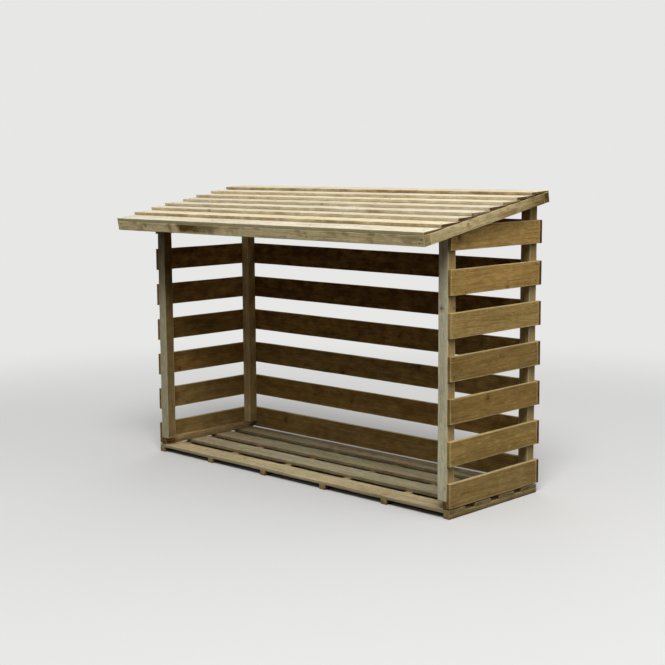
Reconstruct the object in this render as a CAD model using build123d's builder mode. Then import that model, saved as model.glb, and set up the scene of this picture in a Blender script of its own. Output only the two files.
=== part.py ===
from build123d import *

import math
import os

# Open-fronted log store: slatted ends and back on a raised slatted floor,
# under a lean-to roof of lapped feather-edge boards.
# X runs along the length, the open front faces -Y, Z is up and the ground is Z = 0.
# The origin is on the ground, under the middle of the whole store with its roof.

# Driving sizes of the body, in millimetres
body_length = 1778      # outer face to outer face of the slatted ends
end_depth = 577         # length of the end slats, front to back
post_side = 47          # of the square posts

# Base: bearers front to back on the ground, floor boards along the store
bearer_count = 6
bearer_width = 32
bearer_height = 21
bearer_drift = (0, 0, 3, 23, 23, 0)    # how far each was nailed off its even place
floor_board_count = 4
floor_board_width = 100
floor_board_thick = 15
floor_board_drift = (0, 5, 4, 0)       # the same for the floor boards

# Slats on the two ends and the back
slat_count = 7
slat_width = 100
slat_thick = 15
slat_lift = 4           # lowest slat clears the floor by this
top_slat_width = 96     # the top course is ripped a little narrower
top_slat_nose = 60.5    # what the rafter leaves of it at an end slat's front

# Roof frame of planed battens, and the lapped boards on it
roof_pitch = 10.25      # degrees, rising to the back
front_overhang = 196    # upper edge of the roof frame ahead of the front posts
rear_overhang = 13      # and behind the back posts
rafter_height_at_post = 1103.5   # underside of the rafters over the posts' front faces
rafter_width = 45
rafter_depth = 43
batten_thick = 35       # front and rear battens, up the slope
inner_rafter_count = 2
roof_board_count = 8
roof_board_width = 118
roof_board_thick = 13   # at the front edge
roof_board_thin = 5     # at the rear edge
roof_board_drift = (0, 5, 9, -4, 11, -1, -3, 1)    # how far each was nailed off its place

# Small rounded arrises of the planed timbers
arris = 2.0
seat_gap = 0.2          # between a roof board and the one that it laps

# Levels and faces that follow from them
floor_top = bearer_height + floor_board_thick
slope = math.radians(roof_pitch)
post_outer_x = body_length / 2 - slat_thick
post_x = post_outer_x - post_side / 2
roof_width = 2 * (post_outer_x + rafter_width)
side_x = post_outer_x + slat_thick / 2
top_slat_z = rafter_height_at_post - top_slat_nose + top_slat_width
slat_pitch = (top_slat_z - slat_width - floor_top - slat_lift) / (slat_count - 1)

# The roof reaches further than the body both ways, so it sets the middle of the depth:
# its first board leans out over the frame, and the rear batten's foot leans back
roof_reach = front_overhang + end_depth + rear_overhang
roof_length = roof_reach / math.cos(slope)
front_lean = roof_board_thick * math.sin(slope)
rear_lean = rafter_depth * math.sin(slope) - arris * (math.cos(slope) + math.sin(slope) - 1)
roof_front_y = (front_lean - roof_reach - rear_lean) / 2
post_front_y = roof_front_y + front_overhang
post_back_y = post_front_y + end_depth
middle_y = post_front_y + end_depth / 2

# Front upper edge of the roof frame
underside_rise = rafter_depth / math.cos(slope)
roof_front_z = rafter_height_at_post + underside_rise - front_overhang * math.tan(slope)

# Side elevation of the store, and the roof frame's upper face: its first axis runs
# along the store and its second up the slope from the front edge
side_view = Plane(origin=(0, 0, 0), x_dir=(0, 1, 0), z_dir=(1, 0, 0))
up_slope = (0, math.cos(slope), math.sin(slope))
roof_top = Plane(
    origin=(0, roof_front_y, roof_front_z),
    x_dir=(1, 0, 0),
    z_dir=(0, -math.sin(slope), math.cos(slope)),
)


def rafter_underside(y):
    """Height of the rafters' undersides at a distance y along the depth."""
    return rafter_height_at_post + (y - post_front_y) * math.tan(slope)


def rafter_top(y):
    """Height of the rafters' upper faces at a distance y along the depth."""
    return rafter_underside(y) + underside_rise


def save(part, name):
    """Label a finished piece and write it to its own file."""
    part.label = name
    export_step(part, f"parts/{name}.step")


os.makedirs("parts", exist_ok=True)

# Bearers lie on the ground from front to back
bearer_step = (body_length - bearer_width) / (bearer_count - 1)
bearer_x = [
    -body_length / 2 + bearer_width / 2 + n * bearer_step + bearer_drift[n]
    for n in range(bearer_count)
]
bearer_rows = {
    "left_bearer": bearer_x[:1],
    "inner_bearers": bearer_x[1:-1],
    "right_bearer": bearer_x[-1:],
}
for name, places in bearer_rows.items():
    with BuildPart() as bearers:
        with BuildSketch(Plane.XY):
            with Locations(*[(x, middle_y) for x in places]):
                Rectangle(bearer_width, end_depth)
        extrude(amount=bearer_height)
    save(bearers.part, name)

# Floor boards, with gaps for air between them
floor_step = (end_depth - floor_board_width) / (floor_board_count - 1)
for n in range(floor_board_count):
    board_y = post_front_y + floor_board_width / 2 + n * floor_step + floor_board_drift[n]
    with BuildPart() as floor_board:
        with BuildSketch(Plane.XY.offset(bearer_height)):
            with Locations((0, board_y)):
                Rectangle(body_length, floor_board_width)
        extrude(amount=floor_board_thick)
    save(floor_board.part, f"floor_board_{n + 1}")

# Posts stand on the floor. The front ones run up inside the end rafters and are cut
# level with their upper faces. The back ones are cut to carry the rear batten.
for place, face_y, head in (
    ("front", post_front_y, rafter_top),
    ("back", post_back_y - post_side, rafter_underside),
):
    for side, sign in (("left", -1), ("right", 1)):
        with BuildPart() as post:
            with BuildSketch(side_view.offset(sign * post_x - post_side / 2)):
                with BuildLine():
                    Polyline(
                        (face_y, floor_top),
                        (face_y + post_side, floor_top),
                        (face_y + post_side, head(face_y + post_side)),
                        (face_y, head(face_y)),
                        close=True,
                    )
                make_face()
            extrude(amount=post_side)
            fillet(post.edges().filter_by(Axis.Z), arris)
        save(post.part, f"{side}_{place}_post")

# Slats: courses round both ends and the back, counted from the bottom. The top slat
# of an end has its front corner cut away under the rafter.
slat_levels = [floor_top + slat_lift + n * slat_pitch for n in range(slat_count)]
meet_y = post_front_y + (top_slat_z - rafter_height_at_post) / math.tan(slope)
for side, sign in (("left", -1), ("right", 1)):
    slat_face = side_view.offset(sign * side_x - slat_thick / 2)
    for n, level in enumerate(slat_levels[:-1]):
        with BuildPart() as end_slat:
            with BuildSketch(slat_face):
                with Locations((middle_y, level + slat_width / 2)):
                    Rectangle(end_depth, slat_width)
            extrude(amount=slat_thick)
        save(end_slat.part, f"{side}_slat_{n + 1}")

    with BuildPart() as top_end_slat:
        with BuildSketch(slat_face):
            with BuildLine():
                Polyline(
                    (post_front_y, top_slat_z - top_slat_width),
                    (post_back_y, top_slat_z - top_slat_width),
                    (post_back_y, top_slat_z),
                    (meet_y, top_slat_z),
                    (post_front_y, rafter_height_at_post),
                    close=True,
                )
            make_face()
        extrude(amount=slat_thick)
    save(top_end_slat.part, f"{side}_slat_{slat_count}")

for n, level in enumerate(slat_levels):
    width = slat_width if n < slat_count - 1 else top_slat_width
    with BuildPart() as back_slat:
        with BuildSketch(Plane.XZ.offset(-post_back_y - slat_thick)):
            with Locations((0, level + slat_width - width / 2)):
                Rectangle(body_length, width)
        extrude(amount=slat_thick)
    save(back_slat.part, f"back_slat_{n + 1}")

# Roof frame: a batten along the front and the back edge, rafters butted between them
for name, start in (("front_batten", 0), ("rear_batten", roof_length - batten_thick)):
    with BuildPart() as batten:
        with BuildSketch(roof_top):
            with Locations((0, start + batten_thick / 2)):
                Rectangle(roof_width, batten_thick)
        extrude(amount=-rafter_depth)
        fillet(batten.edges().filter_by(Axis.X), arris)
    save(batten.part, name)

end_rafter_x = post_outer_x + rafter_width / 2
rafter_step = 2 * end_rafter_x / (inner_rafter_count + 1)
rafter_rows = {
    "left_rafter": [-end_rafter_x],
    "inner_rafters": [-end_rafter_x + (n + 1) * rafter_step for n in range(inner_rafter_count)],
    "right_rafter": [end_rafter_x],
}
for name, places in rafter_rows.items():
    with BuildPart() as rafters:
        with BuildSketch(roof_top):
            with Locations(*[(x, roof_length / 2) for x in places]):
                Rectangle(rafter_width, roof_length - 2 * batten_thick)
        extrude(amount=-rafter_depth)
        fillet(rafters.edges().filter_by(Axis((0, 0, 0), up_slope)), arris)
    save(rafters.part, name)

# Feather-edge roof boards. The first lies flat on the rafters. Each of the others
# has its thin rear edge on the rafters and its thick front edge on the board below,
# so it tilts by the height that the board below has where the two lap.
exposure = (roof_length - roof_board_width) / (roof_board_count - 1)
board_starts = [n * exposure + roof_board_drift[n] for n in range(roof_board_count)]
taper = roof_board_thick - roof_board_thin
rise = 0.0
for n, start in enumerate(board_starts):
    if n > 0:
        lap_share = (start - board_starts[n - 1]) / roof_board_width
        rise = rise * (1 - lap_share) + roof_board_thick - taper * lap_share + seat_gap
    angle = slope - math.asin(rise / roof_board_width)
    board_side = Plane(
        origin=roof_top.from_local_coords((0, start + roof_board_width, 0)),
        x_dir=(0, math.cos(angle), math.sin(angle)),
        z_dir=(1, 0, 0),
    )
    with BuildPart() as roof_board:
        with BuildSketch(board_side):
            with BuildLine():
                Polyline(
                    (-roof_board_width, 0),
                    (0, 0),
                    (0, roof_board_thin),
                    (-roof_board_width, roof_board_thick),
                    close=True,
                )
            make_face()
        extrude(amount=roof_width / 2, both=True)
    save(roof_board.part, f"roof_board_{n + 1}")
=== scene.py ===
"""Log store of sawn and planed softwood: its timbers, nails and finishes, in a plain studio.

Each timber is built from the size that the fixed frame gives it, with worn arrises, uneven
sawn faces and a grain that runs on from the faces into the ends.
"""

import logging
import math
from dataclasses import dataclass, field
from enum import Enum, IntEnum
from functools import partial
from typing import Callable, Optional, Sequence, Union

import bpy
import numpy as np
from mathutils import Matrix, Vector

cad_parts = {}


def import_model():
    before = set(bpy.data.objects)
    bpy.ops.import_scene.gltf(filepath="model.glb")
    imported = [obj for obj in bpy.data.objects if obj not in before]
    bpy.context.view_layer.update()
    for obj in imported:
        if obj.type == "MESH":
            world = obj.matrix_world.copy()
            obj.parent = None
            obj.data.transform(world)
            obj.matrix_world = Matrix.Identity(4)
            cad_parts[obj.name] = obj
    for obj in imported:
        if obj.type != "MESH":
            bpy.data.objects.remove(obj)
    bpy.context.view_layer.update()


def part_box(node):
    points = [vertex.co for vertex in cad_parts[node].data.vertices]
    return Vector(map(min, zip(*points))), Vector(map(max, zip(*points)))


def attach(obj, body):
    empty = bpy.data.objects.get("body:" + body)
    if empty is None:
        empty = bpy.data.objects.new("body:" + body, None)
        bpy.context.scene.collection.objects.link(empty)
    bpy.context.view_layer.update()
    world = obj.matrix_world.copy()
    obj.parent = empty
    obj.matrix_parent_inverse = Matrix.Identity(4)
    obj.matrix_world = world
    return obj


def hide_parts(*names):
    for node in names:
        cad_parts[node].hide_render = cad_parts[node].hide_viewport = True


LOG = logging.getLogger("log_store")
BODY = "root"
ROOF_PITCH = math.radians(10.25)
UP_SLOPE = (0, math.cos(ROOF_PITCH), math.sin(ROOF_PITCH))
OFF_SLOPE = (0, -math.sin(ROOF_PITCH), math.cos(ROOF_PITCH))
SIDES = (("left", -1), ("right", 1))
BEARERS = ("left_bearer", "inner_bearers", "right_bearer")
RAFTERS = ("left_rafter", "inner_rafters", "right_rafter")
COURSES = 7
FLOOR_BOARDS = 4
ROOF_BOARDS = 8
END_DEPTH = 0.0003

Array = np.ndarray
Colour = tuple[float, float, float]
Socket = bpy.types.NodeSocket
Value = Union[Socket, float, tuple]


def shade(red: int, green: int, blue: int) -> Colour:
    """Turns a colour as a screen shows it, from 0 to 255, into linear light."""
    parts = [v / 255 for v in (red, green, blue)]
    return tuple(v / 12.92 if v <= 0.04045 else ((v + 0.055) / 1.055) ** 2.4 for v in parts)


def ramp(values: Array, low: float, high: float) -> Array:
    """Returns 0 below low and 1 above high, with a straight line between."""
    return np.clip((values - low) / (high - low), 0, 1)


def on_line(places: Array) -> Array:
    """Returns points at places along a timber, none of them off to a side."""
    return np.column_stack([places, np.zeros(len(places)), np.zeros(len(places))])


def node_points(node: str) -> Array:
    """Returns the corners of a node's mesh, one to a row."""
    return np.array([v.co for v in bpy.data.objects[node].data.vertices], float)


def spans(node: str, gap: float = 0.1, room: float = 0.01) -> list[tuple[float, float]]:
    """Finds the stretches along X that the solids of a node fill.

    Args:
        node: The node's name.
        gap: The least distance between two solids.
        room: How far each stretch reaches past its solid.

    Returns:
        The lowest and highest X of each stretch.
    """
    xs = np.unique(np.round(node_points(node)[:, 0], 5))
    parts = np.split(xs, np.where(np.diff(xs) > gap)[0] + 1)
    return [(part.min() - room, part.max() + room) for part in parts]


def middles(nodes: Sequence[str]) -> list[float]:
    """Returns the X of the middle of each solid in a row of nodes."""
    return [(low + high) / 2 for node in nodes for low, high in spans(node)]


def add_object(name: str, data: bpy.types.ID) -> bpy.types.Object:
    """Makes an object and puts it in the scene.

    Args:
        name: The object's name.
        data: Its mesh, light or camera.

    Returns:
        The new object.
    """
    made = bpy.data.objects.new(name, data)
    bpy.context.scene.collection.objects.link(made)
    return made


class Lie(Enum):
    """How a timber lies: its length, width and thickness axes in the frame, right-handed."""

    ALONG = ((1, 0, 0), (0, 1, 0), (0, 0, 1))
    INWARD = ((0, 1, 0), (0, 0, 1), (1, 0, 0))
    UPRIGHT = ((0, 0, 1), (1, 0, 0), (0, 1, 0))
    ALONG_BACK = ((1, 0, 0), (0, 0, 1), (0, -1, 0))
    ALONG_ROOF = ((1, 0, 0), UP_SLOPE, OFF_SLOPE)
    UP_ROOF = (UP_SLOPE, OFF_SLOPE, (1, 0, 0))

    def axes(self) -> Array:
        """Returns the three axes as the rows of a matrix."""
        return np.array(self.value, float)


class Cell(IntEnum):
    """Columns of what is painted on each point of a timber."""

    DAMP = 0
    EDGE = 1
    MARK = 2
    FILM = 3
    # Painted shade in recesses, on inner faces and under the roof, with some dirt and darker end
    # grain.
    SHADE_AND_GRIME = 4
    GOLD = 5


class Cut(Enum):
    """How a timber was sawn, which sets how uneven its faces are, in metres."""

    SAWN = 0.0007
    PLANED = 0.00035


@dataclass
class Coat:
    """What is painted on a timber's points, with their places and the ways that they face."""

    placed: Array
    facing: Array
    painted: Array

    def __post_init__(self) -> None:
        """Takes the three parts of the places."""
        self.x, self.y, self.z = self.placed.T

    def lay(self, cell: Cell, values: Array) -> None:
        """Paints one column."""
        self.painted[:, cell] = values

    def front(self, low: float = 0.3) -> Array:
        """Returns how far each point faces the front."""
        return ramp(-self.facing[:, 1], low, 0.9)

    def side(self) -> Array:
        """Returns how far each point faces the left or the right."""
        return ramp(np.abs(self.facing[:, 0]), 0.3, 0.9)

    def inner(self) -> Array:
        """Returns how far each point faces the store's middle from its left or right."""
        return ramp(-self.facing[:, 0] * np.sign(self.x), 0.3, 0.9)

    def top(self) -> Array:
        """Returns how far each point faces up."""
        return ramp(self.facing[:, 2], 0.2, 0.8)

    def nose(self) -> Array:
        """Tells which points are on the timber's front end."""
        return self.y < self.y.min() + END_DEPTH

    def tips(self) -> Array:
        """Tells which points are on the timber's left and right ends."""
        return np.abs(self.x) > np.abs(self.x).max() - END_DEPTH


class NodeBench:
    """Adds nodes to the tree of one material or world and joins their sockets."""

    def __init__(self, owner: Union[bpy.types.Material, bpy.types.World]) -> None:
        """Clears the owner's tree and keeps it to work on.

        Args:
            owner: The material or world whose nodes are built.
        """
        owner.use_nodes = True
        self.tree = owner.node_tree
        self.tree.nodes.clear()

    def add(
        self, kind: str, values: dict[Union[str, int], Value], **settings: object
    ) -> bpy.types.Node:
        """Adds a node.

        Args:
            kind: The node's type name.
            values: What goes into each input: a socket to join, or a value.
            **settings: The node's own properties.

        Returns:
            The new node.
        """
        made = self.tree.nodes.new(kind)
        for key, setting in settings.items():
            setattr(made, key, setting)
        for key, value in values.items():
            if isinstance(value, Socket):
                self.tree.links.new(value, made.inputs[key])
            else:
                made.inputs[key].default_value = value
        return made

    def read(self, name: str) -> Socket:
        """Returns the vector that the mesh holds under a name."""
        return self.add("ShaderNodeAttribute", {}, attribute_name=name).outputs["Vector"]

    def split(self, vector: Value) -> list[Socket]:
        """Returns the three parts of a vector."""
        return list(self.add("ShaderNodeSeparateXYZ", {0: vector}).outputs)

    def join(self, x: Value, y: Value, z: Value) -> Socket:
        """Returns a vector made of three parts."""
        return self.add("ShaderNodeCombineXYZ", {0: x, 1: y, 2: z}).outputs[0]

    def maths(self, kind: str, a: Value, b: Value = 0.0, c: Value = 0.0) -> Socket:
        """Returns the result of a sum on up to three numbers."""
        return self.add("ShaderNodeMath", {0: a, 1: b, 2: c}, operation=kind).outputs[0]

    def times(self, a: Value, b: Value) -> Socket:
        """Returns the product of two numbers."""
        return self.maths("MULTIPLY", a, b)

    def times_plus(self, a: Value, b: Value, plus: Value) -> Socket:
        """Returns the product of two numbers with a third added to it."""
        return self.maths("MULTIPLY_ADD", a, b, plus)

    def vector(self, kind: str, a: Value, b: Value) -> Socket:
        """Returns the result of a sum on two vectors."""
        return self.add("ShaderNodeVectorMath", {0: a, 1: b}, operation=kind).outputs[0]

    def step(
        self, value: Value, low: Value, high: Value, start: Value = 0.0, end: Value = 1.0
    ) -> Socket:
        """Returns a soft step from start to end while value goes from low to high."""
        inputs = {"Value": value, "From Min": low, "From Max": high, "To Min": start, "To Max": end}
        return self.add("ShaderNodeMapRange", inputs, interpolation_type="SMOOTHSTEP").outputs[0]

    def noise(
        self, place: Value, stretch: Sequence[float], detail: float = 2.0, rough: float = 0.5
    ) -> Socket:
        """Returns soft noise.

        Args:
            place: Where on the timber, in metres.
            stretch: How many features go into a metre along each axis.
            detail: How many finer layers there are.
            rough: How strong the finer layers are.

        Returns:
            The noise, from 0 to 1 about a middle of one half.
        """
        scaled = self.vector("MULTIPLY", place, tuple(stretch))
        inputs = {"Vector": scaled, "Scale": 1.0, "Detail": detail, "Roughness": rough}
        return self.add("ShaderNodeTexNoise", inputs).outputs["Fac"]

    def blend(self, share: Value, a: Value, b: Value, kind: str = "MIX") -> Socket:
        """Returns one colour laid over another.

        Args:
            share: How much of the second colour shows.
            a: First colour.
            b: Second colour.
            kind: How they are laid over each other.

        Returns:
            The colour's socket.
        """
        inputs = {0: share, 6: a, 7: b}
        for key in (6, 7):
            if not isinstance(inputs[key], Socket):
                inputs[key] = (*inputs[key], 1.0)
        return self.add("ShaderNodeMix", inputs, data_type="RGBA", blend_type=kind).outputs[2]


@dataclass(frozen=True)
class TimberFinish:
    """Finish of one kind of treated softwood, painted through the solid timber."""

    slot: str
    pale: Colour
    dark: Colour
    streak: Colour
    patch: Colour
    rim: Colour
    tinge: Colour = shade(150, 130, 92)
    tinge_share: float = 0.25
    stain: Colour = shade(88, 70, 36)
    film: Colour = shade(168, 166, 142)
    gold: Colour = shade(176, 136, 80)
    patch_share: float = 0.45
    ring_gap: float = 0.0045
    ring_strength: float = 0.45
    fibre_strength: float = 0.6
    band_strength: float = 0.45
    mottle_strength: float = 0.7
    fleck_share: float = 0.0
    knot: Colour = shade(112, 74, 38)
    knot_share: float = 0.3
    knot_size: float = 0.011
    saw_marks: float = 0.5
    damp: Colour = (0.42, 0.33, 0.22)
    # Tint of the painted shade, which also darkens some dirt and end grain.
    shade_and_grime: Colour = (0.52, 0.42, 0.30)
    end_grain: Colour = (0.80, 0.72, 0.58)
    rim_share: float = 0.5
    roughness: float = 0.82
    piece_spread: float = 0.13

    def material(self, end: bool = False) -> bpy.types.Material:
        """Builds the material of the faces or of the sawn ends.

        Args:
            end: Whether it is for the ends.

        Returns:
            The material.
        """
        made = bpy.data.materials.new(f"{self.slot}_{'end' if end else 'face'}")
        bench = NodeBench(made)
        times, times_plus, step, noise, blend = (
            bench.times, bench.times_plus, bench.step, bench.noise, bench.blend
        )
        place = bench.read("grain")
        damp, edge, mark = bench.split(bench.read("mood"))
        film, shade_and_grime, gold = bench.split(bench.read("weather_and_shade"))
        warmth, light, drift = bench.split(bench.read("tone"))
        x, y, z = bench.split(place)
        reach = bench.maths("SQRT", times_plus(y, y, times(z, z)))
        inside, halo, knot_gone = self._knots(bench, x, y, z, reach)
        fine = noise(place, (6, 50, 50))
        late = self._late_wood(bench, place, reach, fine, halo)

        shifted = bench.vector("ADD", place, bench.join(drift, drift, drift))
        band = noise(shifted, (1.3, 34, 34), 3, 0.55)
        fibre = noise(place, (3.5, 150, 150), 3, 0.6)
        thread = noise(place, (16, 560, 560), 2, 0.6)
        blotch = noise(shifted, (2.4, 12, 12), 4, 0.6)
        cloud = noise(shifted, (5.5, 9, 9), 3, 0.6)
        crumb = noise(place, (150, 380, 380), 2, 0.7)
        mottle = noise(place, (30, 120, 120), 3, 0.7)
        cross = noise(shifted, (15, 26, 26), 4, 0.6)

        knot_phase = bench.maths("FRACT", bench.maths("DIVIDE", knot_gone, 0.0031))
        layers = (
            (late, self.ring_strength, self.dark),
            (step(blotch, 0.44, 0.66), self.patch_share, self.patch),
            (step(cross, 0.46, 0.66), self.tinge_share, self.tinge),
            (gold, 0.75, self.gold),
            (step(band, 0.47, 0.70), self.band_strength, self.streak),
            (step(fibre, 0.46, 0.72), self.fibre_strength * 0.85, self.streak),
            (step(mottle, 0.54, 0.68), self.fleck_share, self.rim),
            (film, step(band, 0.72, 0.38, 0.5, 0.95), self.film),
            (halo, 0.35, self.streak),
            (inside, 0.55, self.knot),
            (times(inside, step(knot_phase, 0.2, 0.9)), 0.35, tuple(0.4 * v for v in self.knot)),
            (mark, step(cross, 0.30, 0.60, 0.65, 1.0), self.stain),
        )
        colour: Value = self.pale
        for share, strength, tint in layers:
            colour = blend(times(share, strength), colour, tint)

        grit = times_plus(crumb, 0.3, 0.6 - 0.5 * self.mottle_strength)
        grit = times_plus(thread, 0.5, grit)
        grit = times_plus(mottle, self.mottle_strength, grit)
        lift = times_plus(light, self.piece_spread, times_plus(cloud, 0.36, 0.82))
        lift = times(grit, lift)
        red = times(lift, times_plus(warmth, 0.05, 1.0))
        blue = times(lift, times_plus(warmth, -0.10, 1.0))
        colour = blend(1.0, colour, bench.join(red, lift, blue), "MULTIPLY")

        crack = self._cracks(bench, place)
        colour = blend(times(crack, 0.6), colour, tuple(0.35 * v for v in self.dark))
        if end:
            colour = blend(1.0, colour, self.end_grain, "MULTIPLY")
        else:
            # Paler worn arrises, which also stand in for painted highlights along the edges.
            worn_and_lit = times(step(edge, 0.80, 0.97), step(cloud, 0.2, 0.6, 0.35, 1.0))
            colour = blend(times(worn_and_lit, self.rim_share), colour, self.rim)
        # Painted shade, with some dirt and darker end grain, multiplied in where its share is set.
        shaded_colour = blend(1.0, colour, self.shade_and_grime, "MULTIPLY")
        colour = blend(times(shade_and_grime, step(cross, 0.3, 0.7, 0.55, 1.0)), colour, shaded_colour)
        wet = blend(1.0, colour, self.damp, "MULTIPLY")
        colour = blend(times(damp, step(fibre, 0.25, 0.6, 0.6, 1.0)), colour, wet)

        height = times(late, 0.25)
        for relief, strength in ((thread, 0.35), (crumb, 0.3), (fibre, 0.3), (crack, -1.2)):
            height = times_plus(relief, strength, height)
        if self.saw_marks and not end:
            height = times_plus(self._saw_marks(bench, x, fine), 0.3 * self.saw_marks, height)
        bump = bench.add("ShaderNodeBump", {"Height": height, "Distance": 0.0007, "Strength": 0.8})
        rough = times_plus(fibre, 0.12, self.roughness - 0.06)
        inputs = {
            "Base Color": colour,
            "Roughness": times_plus(damp, -0.2, rough),
            "Normal": bump.outputs[0],
            "Specular IOR Level": 0.2,
        }
        skin = bench.add("ShaderNodeBsdfPrincipled", inputs)
        bench.add("ShaderNodeOutputMaterial", {"Surface": skin.outputs[0]})
        return made

    def _late_wood(
        self, bench: NodeBench, place: Socket, reach: Socket, fine: Socket, halo: Socket
    ) -> Socket:
        """Draws the year rings round the heart, bent aside by the knots.

        Args:
            bench: Where the nodes are added.
            place: Place in the log.
            reach: Distance from the heart.
            fine: Fine noise that roughens the rings.
            halo: How far a point is inside the swirl round a knot.

        Returns:
            How far a point is inside the dark part of a ring.
        """
        warped = bench.times_plus(bench.noise(place, (1.4, 7, 7)), 0.024, reach)
        warped = bench.times_plus(fine, 0.003, warped)
        warped = bench.times_plus(halo, 0.007, warped)
        phase = bench.maths("FRACT", bench.maths("DIVIDE", warped, self.ring_gap))
        return bench.times(bench.step(phase, 0.3, 0.9), bench.step(phase, 0.92, 1.0, 1.0, 0.0))

    @staticmethod
    def _cracks(bench: NodeBench, place: Socket) -> Socket:
        """Splits the timber along its grain here and there, as it does when it dries.

        Args:
            bench: Where the nodes are added.
            place: Place in the log.

        Returns:
            How far a point is inside a crack.
        """
        gap = bench.maths("SUBTRACT", bench.noise(place, (2.2, 75, 75), 1), 0.5)
        where = bench.step(bench.noise(place, (2.5, 14, 14), 1), 0.56, 0.66)
        return bench.times(bench.step(bench.maths("ABSOLUTE", gap), 0.002, 0.011, 1.0, 0.0), where)

    def _knots(
        self, bench: NodeBench, x: Socket, y: Socket, z: Socket, reach: Socket
    ) -> tuple[Socket, Socket, Socket]:
        """Sets knots as branches that leave the heart of the log at scattered places.

        Args:
            bench: Where the nodes are added.
            x: Place along the log.
            y: Place across the log.
            z: Place across the log, square to y.
            reach: Distance from the heart.

        Returns:
            How far a point is inside a knot, how far inside the swirl round it, and its
            distance from the knot's middle.
        """
        per_metre, per_radian = 4.2, 0.9
        turn = bench.maths("ARCTAN2", z, y)
        cell = bench.join(bench.times(x, per_metre), bench.times(turn, per_radian), 0.0)
        inputs = {"Vector": cell, "Scale": 1.0, "Randomness": 0.85}
        found = bench.add("ShaderNodeTexVoronoi", inputs, voronoi_dimensions="2D")
        gone = bench.split(bench.vector("SUBTRACT", found.outputs["Position"], cell))
        along = bench.maths("DIVIDE", gone[0], per_metre)
        round_it = bench.times(bench.maths("DIVIDE", gone[1], per_radian), reach)
        squares = bench.times_plus(along, along, bench.times(round_it, round_it))
        distance = bench.maths("SQRT", squares)
        chance = bench.split(found.outputs["Color"])[0]
        inputs = {"Value": chance, "From Min": 1 - self.knot_share, "From Max": 1.0}
        inputs |= {"To Min": 0.0, "To Max": self.knot_size}
        size = bench.add("ShaderNodeMapRange", inputs).outputs[0]
        ratio = bench.maths("DIVIDE", distance, bench.maths("ADD", size, 0.0004))
        inside = bench.step(ratio, 0.55, 1.05, 1.0, 0.0)
        return inside, bench.step(ratio, 0.8, 3.0, 1.0, 0.0), distance

    @staticmethod
    def _saw_marks(bench: NodeBench, x: Socket, fine: Socket) -> Socket:
        """Returns the faint ribs that a saw leaves across the grain."""
        return bench.maths("SINE", bench.times_plus(fine, 9.0, bench.times(x, 1700.0)))


@dataclass(frozen=True)
class NailFinish:
    """Dull galvanised steel with a film of rust."""

    steel: Colour = shade(112, 106, 96)
    rust: Colour = shade(84, 58, 36)

    def material(self) -> bpy.types.Material:
        """Builds the nails' material.

        Returns:
            The material.
        """
        made = bpy.data.materials.new("nail_steel")
        bench = NodeBench(made)
        place = bench.add("ShaderNodeTexCoord", {}).outputs["Object"]
        rusty = bench.step(bench.noise(place, (400, 400, 400)), 0.42, 0.6)
        colour = bench.blend(rusty, self.steel, self.rust)
        inputs = {"Base Color": colour, "Metallic": 0.35, "Roughness": 0.55}
        skin = bench.add("ShaderNodeBsdfPrincipled", inputs)
        bench.add("ShaderNodeOutputMaterial", {"Surface": skin.outputs[0]})
        return made


class Waves:
    """A smooth random field, made of a few sine waves."""

    def __init__(self, rng: np.random.Generator, lengths: Sequence[float], count: int = 7) -> None:
        """Draws the waves, each of about the lengths given along the three axes, or longer."""
        self.pull = rng.normal(size=(count, 3)) * (math.pi / np.array(lengths))
        self.start = rng.uniform(0, 2 * math.pi, count)

    def at(self, points: Array) -> Array:
        """Returns the field, from -1 to 1, at points given as rows."""
        waves = np.sin(points @ self.pull.T + self.start).sum(axis=-1)
        return np.tanh(waves / math.sqrt(len(self.start)))


@dataclass
class Section:
    """Cross-section of a timber: a ring of points that follow the wear at each corner."""

    corners: Array
    face_step: float = 0.014
    guard: float = 0.0012
    turns: tuple[float, ...] = (0.0, 30.0, 60.0, 90.0)
    base: Array = field(init=False)
    pull: Array = field(init=False)
    out: Array = field(init=False)
    corner: Array = field(init=False)

    def __post_init__(self) -> None:
        """Works out the ring from the corners, which go round anticlockwise."""
        rows: list[tuple[Array, Array, Array, int]] = []
        count = len(self.corners)
        for n in range(count):
            here, nxt = self.corners[n], self.corners[(n + 1) % count]
            come, leave = here - self.corners[n - 1], nxt - here
            span = np.linalg.norm(leave)
            come, leave = come / np.linalg.norm(come), leave / span
            away_in, away_out = np.array([come[1], -come[0]]), np.array([leave[1], -leave[0]])
            rows.append((here - come * self.guard, -come, away_in, n))
            for turn in np.radians(self.turns):
                way = away_in * math.cos(turn) + away_out * math.sin(turn)
                move = leave - come + way / max(np.linalg.norm(way), 1e-6)
                rows.append((here, move, way, n))
            rows.append((here + leave * self.guard, leave, away_out, n))
            steps = round(span / self.face_step)
            for k in range(1, steps):
                rows.append((here + leave * span * k / steps, np.zeros(2), away_out, -1))
        self.base, self.pull, self.out, self.corner = (np.array(part) for part in zip(*rows))


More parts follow.
